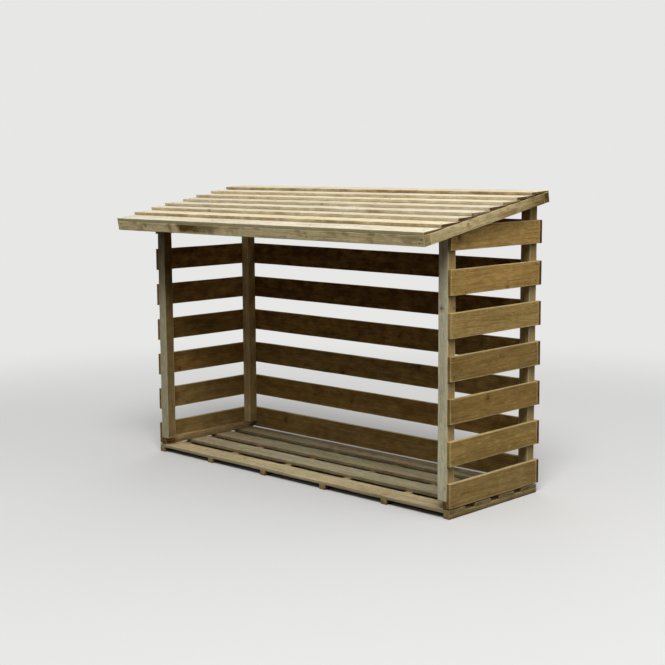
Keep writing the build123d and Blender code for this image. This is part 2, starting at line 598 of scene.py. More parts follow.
@dataclass
class Timber:
    """One length of timber, which stands for a node of the frame or for one solid of it."""

    name: str
    node: Optional[str]
    lie: Lie
    slot: str
    seed: int
    box: Optional[tuple[Sequence[float], Sequence[float]]] = None
    cut: Cut = Cut.SAWN
    arris: float = 0.0012
    arris_spread: float = 0.55
    station_step: float = 0.013
    crook: float = 0.0
    heart: tuple[float, float] = (0.0, 0.06)
    heart_spread: float = 0.012
    feather: bool = False
    only_x: Optional[tuple[float, float]] = None
    shape: Optional[Callable[[Array], Array]] = None
    stations: Sequence[float] = ()
    wane: Optional[Callable[[Array], Array]] = None
    mood: Optional[Callable[[Coat], None]] = None
    warmth: float = 0.0
    light: float = 0.0
    tone_spread: float = 0.35

    def outline(self) -> tuple[Array, float, float]:
        """Reads the timber's size from its node, or from its own box where it has none.

        Returns:
            The corners of its section, and where it starts and ends along its length.
        """
        points = np.array(self.box, float) if self.box else node_points(self.node)
        if self.only_x:
            points = points[(points[:, 0] > self.only_x[0]) & (points[:, 0] < self.only_x[1])]
        local = points @ self.lie.axes().T
        low, high = local.min(axis=0), local.max(axis=0)
        corners = [(low[1], low[2]), (high[1], low[2]), (high[1], high[2]), (low[1], high[2])]
        if self.feather:
            flat, middle = local[:, 1:], local[:, 1].mean()
            rear, front = flat[flat[:, 0] > middle], flat[flat[:, 0] < middle]
            corners = [
                front[front[:, 1].argmin()],
                rear[rear[:, 1].argmin()],
                rear[rear[:, 1].argmax()],
                front[front[:, 1].argmax()],
            ]
        return np.array(corners), low[0], high[0]

    def _stations(self, low: float, high: float) -> tuple[Array, Array]:
        """Spaces the rings along the timber, close together at its ends.

        Args:
            low: Where the timber starts.
            high: Where it ends.

        Returns:
            The places of the rings, and how far each is drawn in for the worn end.
        """
        near = np.array([0.0, 0.3, 1.0, 2.4]) * self.arris
        drawn = np.array([0.8, 0.25, 0.0, 0.0]) * self.arris
        count = max(2, round((high - low - 2 * near[-1]) / self.station_step))
        inner = np.linspace(low + near[-1], high - near[-1], count + 1)[1:-1]
        inner = np.sort(np.concatenate([inner, np.array(list(self.stations))]))
        places = np.concatenate([low + near, inner, high - near[::-1]])
        insets = np.concatenate([drawn, np.zeros(len(inner)), drawn[::-1]])
        return places, insets

    def _surface(
        self, rng: np.random.Generator, section: Section, places: Array, insets: Array
    ) -> Array:
        """Lays the section round each ring, with its own wear at each corner.

        Args:
            rng: Source of the random draws.
            section: The timber's cross-section.
            places: Places of the rings along the timber.
            insets: How far each ring is drawn in.

        Returns:
            Every ring's points, along the timber and across it.
        """
        line = on_line(places)
        wear = np.ones((len(places), len(section.corners)))
        for n in range(len(section.corners)):
            wear[:, n] += self.arris_spread * Waves(rng, (0.11, 1, 1)).at(line)
        wear *= self.arris
        if self.wane:
            wear = np.maximum(wear, self.wane(places))
        picked = np.where(section.corner >= 0, section.corner, 0)
        radius = np.where(section.corner >= 0, wear[:, picked], 0.0)
        flat = section.base[None] + section.pull[None] * radius[..., None]
        flat = flat - section.out[None] * insets[:, None, None]
        local = np.column_stack([np.repeat(places, len(section.base)), flat.reshape(-1, 2)])
        return self.shape(local) if self.shape else local

    def _grain(self, rng: np.random.Generator, centred: Array) -> Array:
        """Finds where in the log each point was sawn from.

        Args:
            rng: Source of the random draws.
            centred: The points, from the timber's middle.

        Returns:
            Their places along the log and across it from the heart.
        """
        lean = rng.normal(0, self.heart_spread, 2)
        start = rng.uniform(-40, 40)
        heart = np.array(self.heart) + rng.normal(0, self.heart_spread, 2)
        across = centred[:, 1:] - heart - centred[:, :1] * lean
        return np.column_stack([centred[:, 0] + start, across])

    def build(self) -> bpy.types.Object:
        """Builds the timber's mesh with its grain, mood and tone.

        Returns:
            The object, riding on the store's body in place of its node.
        """
        rng = np.random.default_rng(self.seed)
        corners, low, high = self.outline()
        section = Section(corners)
        places, insets = self._stations(low, high)
        rings, points = len(places), len(section.base)
        local = self._surface(rng, section, places, insets)
        centred = local - np.array([(low + high) / 2, *corners.mean(axis=0)])
        grain = self._grain(rng, centred)

        rough = 0.5 + 0.35 * Waves(rng, (0.21, 0.05, 0.05)).at(centred)
        rough = rough + 0.15 * Waves(rng, (0.03, 0.02, 0.02)).at(centred)
        local[:, 1:] -= np.tile(section.out, (rings, 1)) * (rough * self.cut.value)[:, None]
        bend = self.crook * Waves(rng, (0.9, 9, 9), 3).at(on_line(places))
        local[:, 1] += np.repeat(bend, points)

        placed = local @ self.lie.axes()
        painted = np.zeros((len(local), len(Cell)))
        at_end = np.repeat(np.minimum(places - low, high - places) < 2.5 * self.arris, points)
        painted[:, Cell.EDGE] = np.maximum(np.tile(section.corner >= 0, rings), at_end)
        if self.mood:
            out = np.column_stack([np.zeros(points), section.out])
            facing = np.tile(out, (rings, 1)) @ self.lie.axes()
            self.mood(Coat(placed, facing, painted))
        made = self._mesh(placed, rings, points)
        warmth = self.warmth + rng.normal(0, self.tone_spread)
        light = self.light + rng.normal(0, self.tone_spread)
        tone = np.tile((warmth, light, rng.uniform(-9, 9)), (len(local), 1))
        layers = {"grain": grain, "mood": painted[:, :3], "weather_and_shade": painted[:, 3:], "tone": tone}
        for name, values in layers.items():
            layer = made.data.attributes.new(name, "FLOAT_VECTOR", "POINT")
            layer.data.foreach_set("vector", np.ascontiguousarray(values, np.float32).ravel())
        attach(made, BODY)
        if self.node:
            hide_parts(self.node)
        return made

    def _mesh(self, placed: Array, rings: int, points: int) -> bpy.types.Object:
        """Joins the rings into a closed mesh.

        Args:
            placed: Every ring's points in the frame, one ring after the other.
            rings: How many rings there are.
            points: How many points a ring has.

        Returns:
            The new object, in the scene.
        """
        ring, spot = np.meshgrid(np.arange(rings - 1), np.arange(points), indexing="ij")
        first, second = ring * points + spot, ring * points + (spot + 1) % points
        sides = np.stack([first, second, second + points, first + points], axis=-1).reshape(-1, 4)
        last = (rings - 1) * points
        caps = [list(range(points - 1, -1, -1)), list(range(last, last + points))]
        mesh = bpy.data.meshes.new(self.name)
        mesh.from_pydata(placed.tolist(), [], sides.tolist() + caps)
        mesh.polygons.foreach_set("use_smooth", [True] * len(sides) + [False, False])
        mesh.polygons.foreach_set("material_index", [0] * len(sides) + [1, 1])
        return add_object(self.name, mesh)


@dataclass
class Workshop:
    """What every sub-assembly shares: the finishes, and a count for the random draws."""

    finishes: dict[str, TimberFinish]
    seed: int = 100

    def __post_init__(self) -> None:
        """Makes the face and end materials of each finish."""
        self.materials = {k: (f.material(), f.material(end=True)) for k, f in self.finishes.items()}

    def make(self, name: str, node: Optional[str], lie: Lie, slot: str, **details: object) -> None:
        """Builds a timber with random draws of its own and gives it its finish.

        Args:
            name: The piece's name.
            node: The node that it replaces, if any.
            lie: How it lies.
            slot: Its finish.
            **details: The timber's other fields.
        """
        self.seed += 1
        made = Timber(name, node, lie, slot, self.seed, **details).build()
        for material in self.materials[slot]:
            made.data.materials.append(material)
        LOG.info("%s: %d points for %s", name, len(made.data.vertices), node or "no node")


@dataclass
class Base:
    """Bearers on the ground, the floor boards on them, and the rails that carry the posts."""

    shop: Workshop
    bearer_lights: tuple[float, ...] = (0.2, 2.8, 0.2)
    board_lights: tuple[float, ...] = (0.6, 0.4, 0.1, 0.0)
    board_warmths: tuple[float, ...] = (0.2, -1.0, -0.4, 0.2)
    wane_spots: tuple[tuple[float, float, float], ...] = (
        (0.12, 0.20, 0.0045), (0.62, 0.10, 0.003), (-0.55, 0.16, 0.0035), (-0.86, 0.05, 0.004),
    )
    rail_thick: float = 0.021
    rail_height: float = 0.032
    rail_light: float = 0.6

    @staticmethod
    def _bearer_mood(coat: Coat) -> None:
        """Darkens the bearers towards the ground, but not their front ends, and paints shade on the
        side faces of the inner bearers.

        Args:
            coat: The paint on the timber.
        """
        front = np.minimum(coat.front() + coat.nose(), 1)
        coat.lay(Cell.DAMP, (1 - 0.85 * front) * ramp(-coat.z, -0.018, -0.002))
        # Painted shade on the side faces of the inner bearers, under the floor.
        coat.lay(Cell.SHADE_AND_GRIME, 0.6 * coat.side() * (np.abs(coat.x) < 0.85))
        coat.lay(Cell.GOLD, 0.8 * coat.nose())

    @staticmethod
    def _floor_mood(coat: Coat) -> None:
        """Darkens the front corners under the posts' feet, the undersides and the right end, and
        greys the front edge; paints shade on the front faces of the boards behind the first and on
        the ends under the slats.

        Args:
            coat: The paint on the timber.
        """
        corner = ramp(np.abs(coat.x), 0.78, 0.88) * ramp(-coat.y, 0.13, 0.19)
        under = 0.4 * ramp(-coat.z, -0.03, -0.022)
        coat.lay(Cell.DAMP, np.maximum(0.5 * corner, under) + 0.2 * ramp(coat.x, 0.3, 0.8))
        coat.lay(Cell.FILM, 0.5 * coat.front(0.4) * ramp(-coat.y, 0.18, 0.19))
        # Painted shade on the board ends under the slats' lower edges.
        under_slat_shade = coat.top() * ramp(np.abs(coat.x), 0.866, 0.876)
        # Painted shade on the front faces of the boards behind the first, down in the gaps.
        gap_edge_shade = 0.9 * coat.front(0.4) * ramp(coat.y, -0.18, -0.17)
        coat.lay(Cell.SHADE_AND_GRIME, np.maximum(gap_edge_shade, under_slat_shade))
        coat.lay(Cell.GOLD, 0.5 * ramp(-coat.x, 0.55, 0.85) * coat.top())

    @staticmethod
    def _rail_mood(coat: Coat) -> None:
        """Darkens the rails' wet feet and their front ends, under the posts.

        Args:
            coat: The paint on the timber.
        """
        front = ramp(-coat.y, 0.13, 0.185)
        coat.lay(Cell.DAMP, np.maximum(0.55 * ramp(-coat.z, -0.06, -0.036), 0.95 * front))
        coat.lay(Cell.GOLD, 0.8 * (1 - front))

    @staticmethod
    def _bearer_wane(places: Array) -> Array:
        """Leaves ragged stretches of wane along a bearer's two upper corners.

        Args:
            places: Places along the timber.

        Returns:
            The wear at each place, for the four corners.
        """
        wear = np.zeros((len(places), 4))
        for corner in (1, 2):
            wave = Waves(np.random.default_rng(70 + corner), (0.05, 1, 1)).at(on_line(places))
            wear[:, corner] = 0.005 * ramp(wave, 0.1, 1.0)
        return wear

    def _front_wane(self, places: Array) -> Array:
        """Gives the front board's upper front corner a few stretches of wane.

        Args:
            places: Places along the timber.

        Returns:
            The wear at each place, for the four corners.
        """
        wear = np.zeros((len(places), 4))
        for middle, half, depth in self.wane_spots:
            hollow = depth * np.clip(1 - ((places - middle) / half) ** 2, 0, 1)
            wear[:, 3] = np.maximum(wear[:, 3], hollow)
        return wear

    def build(self) -> None:
        """Builds the bearers, the floor and the rails."""
        for node, light in zip(BEARERS, self.bearer_lights):
            for n, span in enumerate(spans(node)):
                single = node.replace("bearers", f"bearer_{n + 1}")
                self.shop.make(
                    f"{single}_sawn", node, Lie.INWARD, "bearer_timber", only_x=span,
                    heart=(0.02, 0.02), mood=self._bearer_mood, wane=self._bearer_wane, light=light,
                )
        for n, (light, warmth) in enumerate(zip(self.board_lights, self.board_warmths)):
            node = f"floor_board_{n + 1}"
            self.shop.make(
                f"{node}_sawn", node, Lie.ALONG, "floor_timber", heart=(0.01, -0.07),
                mood=self._floor_mood, wane=None if n else self._front_wane, light=light,
                warmth=warmth,
            )
        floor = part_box("floor_board_1")[1].z
        for side, sign in SIDES:
            low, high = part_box(f"{side}_slat_1")
            face = low.x if sign > 0 else high.x
            inside, top = face - sign * self.rail_thick, floor + self.rail_height
            box = ((inside, low.y, floor), (face, high.y, top))
            self.shop.make(
                f"{side}_floor_rail_sawn", None, Lie.INWARD, "bearer_timber", box=box, arris=0.0016,
                heart=(0.02, 0.02), mood=self._rail_mood, light=self.rail_light,
            )


@dataclass
class Posts:
    """Four planed posts on the floor rails, with their heads cut to the roof's slope."""

    shop: Workshop
    foot: float = 0.068
    damp_top: float = 0.12
    lights: tuple[tuple[str, float], ...] = (
        ("left_front_post", 0.0), ("right_front_post", 1.4),
        ("left_back_post", 5.2), ("right_back_post", 1.2),
    )

    def _mood(self, coat: Coat) -> None:
        """Greys the faces that rain and sun bleach from the front, darkens the wet feet, and paints
        shade under the roof, on the back posts and on the inner faces.

        Args:
            coat: The paint on the timber.
        """
        forward, left = ramp(-coat.y, 0.0, 0.1), (coat.x < 0) * 1.0
        coat.lay(Cell.FILM, coat.front() * forward * (1 - 0.45 * left))
        # Painted shadow of the roof's overhang on the left front post, deeper towards its head.
        eaves_shade = 0.9 * ramp(coat.z, 0.72, 1.06) * left * forward
        # Painted shade under the roof, above the top slats.
        roof_shade = 0.8 * ramp(coat.z, 1.12, 1.16)
        # Painted shade on the back posts: the right one's front face behind the slats, and both
        # heads under the roof.
        rear = (1 - forward) * np.maximum(0.25 * (1 - left) * coat.front(), roof_shade)
        # Painted shade on the inner faces, deeper higher up.
        inner = coat.inner() * (0.25 + 0.6 * ramp(coat.z, 0.3, 1.0))
        coat.lay(Cell.SHADE_AND_GRIME, np.clip(np.maximum(eaves_shade, rear) + inner, 0, 1))
        coat.lay(Cell.GOLD, np.maximum(coat.side(), (1 - forward) * (1 - 0.4 * left)))
        coat.lay(Cell.DAMP, 0.5 * ramp(-coat.z, -self.damp_top, -self.foot) * coat.side())

    def build(self) -> None:
        """Builds the posts."""
        for node, light in self.lights:
            self.shop.make(
                f"{node}_planed", node, Lie.UPRIGHT, "post_timber", cut=Cut.PLANED, arris=0.0022,
                shape=partial(self._cut, *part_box(node)), heart=(0.03, 0.02), mood=self._mood,
                light=light,
            )

    def _cut(self, low: Vector, high: Vector, local: Array) -> Array:
        """Lifts a post's foot onto the rail and lowers its head from back to front.

        Args:
            low: The post's lowest corner.
            high: Its highest corner.
            local: Its points, along the post and across it.

        Returns:
            The points, moved.
        """
        fall = (high.y - local[:, 2]) * math.tan(ROOF_PITCH)
        share = (local[:, 0] - low.z) / (high.z - low.z)
        local[:, 0] = self.foot + share * (high.z - fall - self.foot)
        return local


@dataclass
class Slats:
    """Seven courses of slats round both ends and the back."""

    shop: Workshop
    # Each course's lightness, from the bottom: partly its own tone, partly painted shade that
    # darkens the lower courses and the top one under the rafter.
    lights: tuple[float, ...] = (-1.1, -2.0, -2.1, -1.4, 0.6, 0.6, 0.0)
    warmths: tuple[float, ...] = (-0.8, 0.2, 0.8, 0.8, -0.2, 0.3, -0.2)
    left_light: float = 0.6
    left_cools: tuple[float, ...] = (1.2, 0.6, 0.0, 0.0, 0.0, 0.0, 0.0)
    back_lights: tuple[float, ...] = (-0.6, 0.5, -0.2, 0.8, -0.8, 0.3, 0.0)
    back_warmths: tuple[float, ...] = (-1.0, 0.3, -0.5, 0.6, 0.0, -0.6, 0.5)

    @staticmethod
    def _mood(coat: Coat) -> None:
        """Darkens the foot of the lowest course, and paints shade on the inner faces, deeper higher
        up, and on the left slats' front ends.

        Args:
            coat: The paint on the timber.
        """
        coat.lay(Cell.DAMP, 0.6 * ramp(-coat.z, -0.075, -0.038) * ramp(-coat.y, 0.12, 0.2))
        # Painted shade on the inner faces, deeper higher up, and on the left slats' front ends
        # beside the post.
        shaded = coat.inner() * (0.3 + 0.7 * ramp(coat.z, 0.2, 0.95))
        coat.lay(Cell.SHADE_AND_GRIME, np.maximum(shaded, 0.7 * (coat.x < 0) * coat.nose()))
        coat.lay(Cell.GOLD, 0.35 * ramp(coat.z, 0.35, 0.95))

    @staticmethod
    def _back_mood(coat: Coat) -> None:
        """Darkens the end grain of the back's slats, and paints shade on their inner faces, deeper
        higher up.

        Args:
            coat: The paint on the timber.
        """
        tips = coat.tips()
        coat.lay(Cell.GOLD, tips)
        coat.lay(Cell.DAMP, 0.6 * tips)
        # Painted shade on the inner faces, deeper higher up; the end grain is darkened too.
        coat.lay(Cell.SHADE_AND_GRIME, np.maximum(coat.front() * (0.4 + 0.6 * ramp(coat.z, 0.2, 0.8)), tips))

    def build(self) -> None:
        """Builds the slats of the ends and the back."""
        for side, sign in SIDES:
            for n in range(COURSES):
                node, left = f"{side}_slat_{n + 1}", side == "left"
                extra = self._taper(node) if n == COURSES - 1 else {}
                self.shop.make(
                    f"{node}_sawn", node, Lie.INWARD, "slat_timber", arris=0.0013, crook=0.0006,
                    heart=(0.0, -0.06 * sign), mood=self._mood,
                    light=self.lights[n] + left * self.left_light,
                    warmth=self.warmths[n] - left * self.left_cools[n], **extra,
                )
        for n in range(COURSES):
            node = f"back_slat_{n + 1}"
            self.shop.make(
                f"{node}_sawn", node, Lie.ALONG_BACK, "slat_timber", arris=0.0013,
                heart=(0.0, 0.06), mood=self._back_mood, light=self.back_lights[n],
                warmth=self.back_warmths[n],
            )

    @staticmethod
    def _taper(node: str) -> dict[str, object]:
        """Cuts the front of a top slat along the underside of the rafter.

        Args:
            node: The slat's node.

        Returns:
            The shape and the extra ring that the timber needs.
        """
        low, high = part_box(node)
        points = node_points(node)
        nose = points[points[:, 1] < low.y + 1e-4][:, 2].max()
        meet = low.y + (high.z - nose) / math.tan(ROOF_PITCH)

        def cut(local: Array) -> Array:
            """Keeps the slat below the rafter.

            Args:
                local: The slat's points, along it and across it.

            Returns:
                The points, moved.
            """
            limit = np.minimum(high.z, nose + (local[:, 0] - low.y) * math.tan(ROOF_PITCH))
            local[:, 1] = low.z + (local[:, 1] - low.z) * (limit - low.z) / (high.z - low.z)
            return local

        return {"shape": cut, "stations": (meet,)}


@dataclass
class RoofFrame:
    """Battens along the front and the rear, and the rafters between them."""

    shop: Workshop
    batten_light: float = 3.1
    rafter_light: float = 3.8
    rafter_warmth: float = 0.3
    spots: tuple[tuple[float, float, float], ...] = (
        (0.513, 1.109, 0.012), (0.255, 1.112, 0.016), (0.76, 1.108, 0.03), (0.3, 1.1, 0.006),
        (0.66, 1.112, 0.022), (-0.72, 1.1, 0.01), (0.02, 1.106, 0.02),
    )

    def build(self) -> None:
        """Builds the battens and rafters."""
        for node, mood in (("front_batten", self._front_mood), ("rear_batten", self._rear_mood)):
            self._plane(f"{node}_planed", node, Lie.ALONG_ROOF, mood=mood, light=self.batten_light)
        for node in RAFTERS:
            for n, span in enumerate(spans(node)):
                single = node.replace("rafters", f"rafter_{n + 1}")
                self._plane(
                    f"{single}_planed", node, Lie.UP_ROOF, only_x=span, mood=self._rafter_mood,
                    light=self.rafter_light, warmth=self.rafter_warmth,
                )

    def _plane(self, name: str, node: str, lie: Lie, **details: object) -> None:
        """Makes one planed timber of the frame."""
        details |= {"cut": Cut.PLANED, "arris": 0.0022, "heart": (0.02, 0.03)}
        self.shop.make(name, node, lie, "roof_frame_timber", **details)

    def _front_mood(self, coat: Coat) -> None:
        """Leaves a long brown stain over the left post and blotches along the front batten.

        Args:
            coat: The paint on the timber.
        """
        x, z = coat.x, coat.z
        low, high = z.min(), z.max()
        stain = ramp(x + 0.4 * (z - low), -0.49, -0.47) * ramp(-x, 0.20, 0.33)
        stain = np.maximum(stain, 0.75 * ramp(x, -0.56, -0.55) * ramp(-x, 0.53, 0.54))
        stain = stain * ramp(z, low, low + 0.010) * ramp(-z, -high, 0.006 - high)
        for middle, rise, half in self.spots:
            gone = np.hypot((x - middle) / half, (z - rise) / 0.006)
            stain = np.maximum(stain, 0.8 * ramp(-gone, -1.3, -0.5))
        coat.lay(Cell.MARK, stain)
        coat.lay(Cell.DAMP, 0.35 * coat.tips())

    @staticmethod
    def _rear_mood(coat: Coat) -> None:
        """Paints shade on the rear batten's front face, under the roof, and darkens its ends."""
        coat.lay(Cell.SHADE_AND_GRIME, np.maximum(0.8 * coat.front(), coat.tips()))
        coat.lay(Cell.DAMP, 0.75 * coat.tips())

    @staticmethod
    def _rafter_mood(coat: Coat) -> None:
        """Darkens the rafters towards the rear, and paints shade on their inner faces."""
        # Painted shade on the inner faces; the rear is darker too.
        coat.lay(Cell.SHADE_AND_GRIME, np.maximum(ramp(coat.y, -0.05, 0.30), 0.8 * coat.inner()))
        coat.lay(Cell.DAMP, 0.45 * ramp(coat.y, 0.12, 0.4))


@dataclass
class RoofBoards:
    """Lapped feather-edge boards, thick at the front edge."""

    shop: Workshop
    light: float = 0.3
    warmths: tuple[float, ...] = (-0.2, 0.5, 0.5, 0.5, 0.5, 0.5, 0.5, 0.5)
    end_marks: tuple[float, ...] = (0.9, 0.95, 0.95, 0.5, 0.95, 0.5, 0.95, 0.8)
    # How deep the painted shade on each board's front edge is, from the front board to the rear.
    front_edge_shades: tuple[float, ...] = (0.25, 0.95, 0.6, 0.65, 0.5, 0.55, 0.6, 1.0)
    golden: tuple[int, ...] = (3, 4)
    streaks: tuple[tuple[int, float, float, float], ...] = (
        (2, -0.10, 0.07, 0.3), (2, 0.355, 0.04, 0.5), (2, 0.46, 0.09, 0.3),
        (3, -0.045, 0.045, 0.5), (3, 0.065, 0.02, 0.4), (4, 0.42, 0.06, 0.45),
        (8, -0.71, 0.07, 0.35), (8, -0.465, 0.07, 0.5), (8, -0.13, 0.07, 0.5),
        (8, 0.15, 0.2, 0.4), (8, 0.65, 0.12, 0.3),
    )

    def build(self) -> None:
        """Builds the roof boards from the front to the rear."""
        fronts = [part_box(f"roof_board_{n}")[0].y for n in range(1, ROOF_BOARDS + 1)] + [1.0]
        for n in range(1, ROOF_BOARDS + 1):
            node = f"roof_board_{n}"
            self.shop.make(
                f"{node}_feathered", node, Lie.ALONG, "roof_timber", arris=0.0014,
                heart=(0.0, -0.08), feather=True, mood=partial(self._mood, n, fronts[n]),
                warmth=self.warmths[n - 1], light=self.light,
            )

    def _mood(self, n: int, lap: float, coat: Coat) -> None:
        """Darkens the front edge with painted shade and browns it in streaks, darkens the strip
        under the next board's lap with painted shade and dirt, and browns the right end.

        Args:
            n: The board's number, from the front.
            lap: Where the next board's front edge lies.
            coat: What is painted on the board.
        """
        edge, front_edge_shade, end_mark = coat.front(0.4), self.front_edge_shades[n - 1], self.end_marks[n - 1]
        rng = np.random.default_rng(int(1000 * front_edge_shade + 100 * lap))
        flame = Waves(rng, (0.16, 9, 9), 5).at(coat.placed)
        coat.lay(Cell.FILM, edge * (1.0 if n == 1 else 0.5 * ramp(-flame, 0.2, 0.8)))
        # Painted shade on the front edge, and painted shade and dirt on the strip under the next
        # board's lap.
        coat.lay(Cell.SHADE_AND_GRIME, np.maximum(edge * front_edge_shade, 0.6 * ramp(coat.y, lap - 0.012, lap)))
        at_end = coat.tips() * (coat.x > 0)
        coat.lay(Cell.DAMP, 0.6 * end_mark * at_end)
        mark, gold = end_mark * at_end, 0.55 * (edge > 0) * ramp(flame, 0.5, 0.95)
        for _, middle, half, strength in (s for s in self.streaks if s[0] == n):
            streak = strength * (edge > 0) * ramp(-np.abs(coat.x - middle) / half, -1.0, -0.4)
            mark = np.maximum(mark, streak)
            gold = np.maximum(gold, 2 * streak * (n in self.golden))
        coat.lay(Cell.MARK, mark)
        coat.lay(Cell.GOLD, gold)
        coat.painted[:, Cell.EDGE] *= 0.0 if n == 1 else 0.9


@dataclass
class Nails:
    """Nail heads, gathered for one sub-assembly and joined into one mesh."""

    name: str
    slot: str
    places: list[tuple[Vector, Vector]] = field(default_factory=list)
    radius: float = 0.0028
    sides: int = 12
    tilt: float = 0.04
    rings: tuple[tuple[float, float], ...] = (
        (1.0, -0.0012), (1.0, -0.0001), (0.93, 0.00022), (0.55, 0.0004),
    )

    def add(self, place: Sequence[float], way: Sequence[float]) -> None:
        """Notes where a nail's head sits on the timber and which way it faces."""
        self.places.append((Vector(place), Vector(way).normalized()))

    def build(self, material: bpy.types.Material, seed: int) -> None:
        """Builds every head as a low dome with a skirt that is sunk in the wood.

        Args:
            material: The nails' material.
            seed: Seed of the small random tilts.
        """
        rng = np.random.default_rng(seed)
        points: list[Vector] = []
        faces: list[list[int]] = []
        sides = range(self.sides)
        for place, way in self.places:
            turn = (way + Vector(rng.normal(0, self.tilt, 3))).normalized().to_track_quat("Z", "Y")
            first = len(points)
            for share, height in self.rings:
                for k in sides:
                    angle = 2 * math.pi * k / self.sides
                    spot = Vector((math.cos(angle), math.sin(angle), 0)) * self.radius * share
                    points.append(place + turn @ (spot + Vector((0, 0, height))))
            for r in range(len(self.rings) - 1):
                for k in sides:
                    a = first + r * self.sides + k
                    b = first + r * self.sides + (k + 1) % self.sides
                    faces.append([a, b, b + self.sides, a + self.sides])
            top = first + (len(self.rings) - 1) * self.sides
            faces.append([top + k for k in sides])
            faces.append([first + k for k in reversed(sides)])
        mesh = bpy.data.meshes.new(self.name)
        mesh.from_pydata(points, [], faces)
        mesh.polygons.foreach_set("use_smooth", [True] * len(faces))
        mesh.materials.append(material)
        made = add_object(self.name, mesh)
        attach(made, BODY)
        LOG.info("%s: %d nails", self.name, len(self.places))


@dataclass
class Fixings:
    """The nails of the whole store, set where one timber crosses another."""

    seed: int = 900
    finish: NailFinish = NailFinish()
    scatter: float = 0.003
    wide_scatter: float = 0.004
    end_shares: tuple[float, float] = (0.17, 0.86)
    nose_shares: tuple[float, float] = (0.15, 0.45)
    back_shares: tuple[float, float] = (0.2, 0.8)
    floor_shares: tuple[float, float] = (0.22, 0.78)
    batten_shares: tuple[float, float] = (0.31, 0.66)
    from_edge: float = 0.034

    def __post_init__(self) -> None:
        """Starts the random draws."""
        self.rng = np.random.default_rng(self.seed)

    def build(self) -> None:
        """Builds the nails of the ends, the back, the floor and the roof."""
        material = self.finish.material()
        groups = (self._slats(), self._floor(), self._roof_frame(), self._roof())
        for n, group in enumerate(groups):
            group.build(material, self.seed + n + 1)

    def _about(self, middle: float, wide: bool = False) -> float:
        """Returns a place close to the middle, as a hammer finds it."""
        return middle + self.rng.normal(0, self.wide_scatter if wide else self.scatter)

    def _slats(self) -> Nails:
        """Sets two nails at each end of each slat.

        Returns:
            The nails.
        """
        nails = Nails("slat_nails", "slat_timber")
        for side, sign in SIDES:
            for n in range(1, COURSES + 1):
                low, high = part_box(f"{side}_slat_{n}")
                face = high.x if sign > 0 else low.x
                for post in ("front", "back"):
                    post_low, post_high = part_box(f"{side}_{post}_post")
                    y = (post_low.y + post_high.y) / 2
                    at_nose = n == COURSES and post == "front"
                    for share in self.nose_shares if at_nose else self.end_shares:
                        z = low.z + (high.z - low.z) * share
                        nails.add((face, self._about(y), self._about(z)), (sign, 0, 0))
        for n in range(1, COURSES + 1):
            low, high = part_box(f"back_slat_{n}")
            for side, _ in SIDES:
                post_low, post_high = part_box(f"{side}_back_post")
                x = (post_low.x + post_high.x) / 2
                for share in self.back_shares:
                    z = low.z + (high.z - low.z) * share
                    nails.add((self._about(x, wide=True), high.y, self._about(z)), (0, 1, 0))
        return nails

    def _floor(self) -> Nails:
        """Sets two nails through each floor board into each bearer.

        Returns:
            The nails.
        """
        nails = Nails("floor_nails", "floor_timber")
        for n in range(1, FLOOR_BOARDS + 1):
            low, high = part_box(f"floor_board_{n}")
            for x in middles(BEARERS):
                for share in self.floor_shares:
                    y = low.y + (high.y - low.y) * share
                    nails.add((self._about(x), self._about(y), high.z), (0, 0, 1))
        return nails

    def _roof_frame(self) -> Nails:
        """Sets two nails through each batten into the end of each rafter.

        Returns:
            The nails.
        """
        nails = Nails("roof_frame_nails", "roof_frame_timber")
        across, normal = (Vector(v) for v in Lie.ALONG_ROOF.value[1:])
        for node, sign in (("front_batten", -1), ("rear_batten", 1)):
            points = node_points(node) @ Lie.ALONG_ROOF.axes().T
            low, high = points.min(axis=0), points.max(axis=0)
            reach = low[1] if sign < 0 else high[1]
            for x in middles(RAFTERS):
                for share in self.batten_shares:
                    place = across * reach + normal * (low[2] + (high[2] - low[2]) * share)
                    nails.add(Vector((self._about(x, wide=True), 0, 0)) + place, across * sign)
        return nails

    def _roof(self) -> Nails:
        """Sets a nail through each roof board into each rafter.

        Returns:
            The nails.
        """
        nails = Nails("roof_nails", "roof_timber")
        for n in range(1, ROOF_BOARDS + 1):
            timber = Timber("", f"roof_board_{n}", Lie.ALONG, "", 0, feather=True)
            _, _, rear, front = timber.outline()[0]
            fall = (rear - front) / np.linalg.norm(rear - front)
            for x in middles(RAFTERS):
                spot = front + fall * self._about(self.from_edge)
                nails.add((self._about(x, wide=True), *spot), (0, -fall[1], fall[0]))
        return nails


